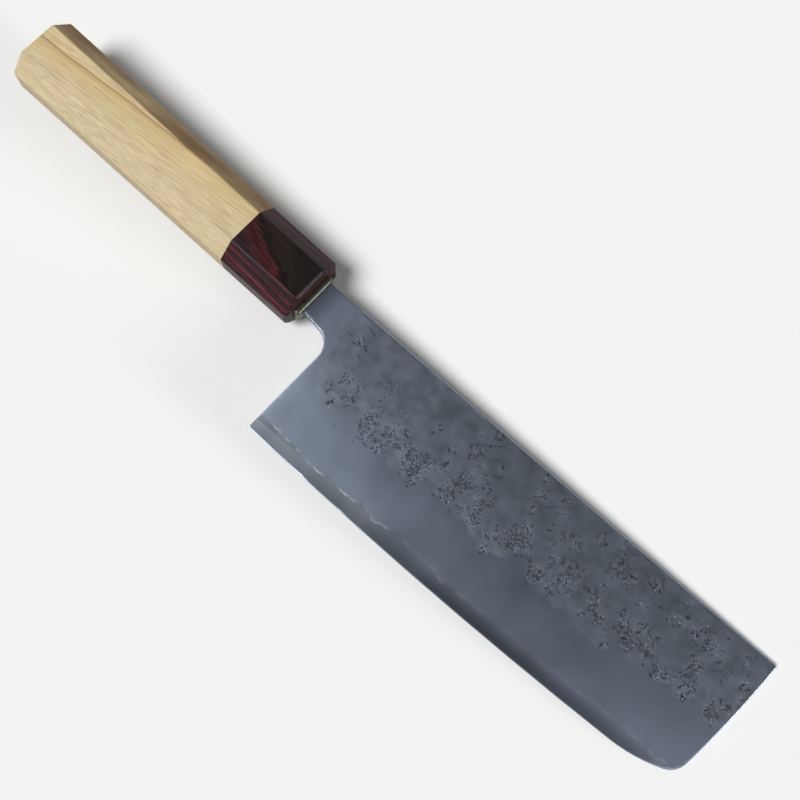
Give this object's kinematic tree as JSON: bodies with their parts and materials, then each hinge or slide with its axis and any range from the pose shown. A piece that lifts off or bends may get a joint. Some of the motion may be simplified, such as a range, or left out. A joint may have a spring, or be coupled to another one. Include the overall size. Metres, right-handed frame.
{
  "type": "nakiri knife",
  "caption": "Vegetable knife with a tall straight-edged laminated steel blade and an octagonal wooden handle with a dark laminated ferrule.",
  "frame": {"origin": "centre of the handle's butt end face", "axes": "+X along the handle and blade to the blade's front, +Y from the cutting edge to the spine, +Z out of the blade's right side; Z = 0 is the knife's middle plane, and the knife lies on its left side"},
  "size_m": [0.3006, 0.0565, 0.0194],
  "materials": {
    "core_steel": "hard carbon steel, fine ground edge",
    "cladding_steel": "soft steel, dark pitted forge skin above and satin ground below",
    "handle_wood": "bare sanded pale ring-porous wood",
    "ferrule_wood": "dyed red and black veneers pressed with resin, satin",
    "tang_resin": "set resin, not seen",
    "seal_resin": "set resin, smooth and slightly yellow"
  },
  "bodies": {
    "root": {"core_steel": "core_steel", "right_cladding": "cladding_steel", "left_cladding": "cladding_steel", "handle_body": "handle_wood", "ferrule": "ferrule_wood", "tang_adhesive": "tang_resin", "mouth_seal": "seal_resin"}
  },
  "joints": []
}
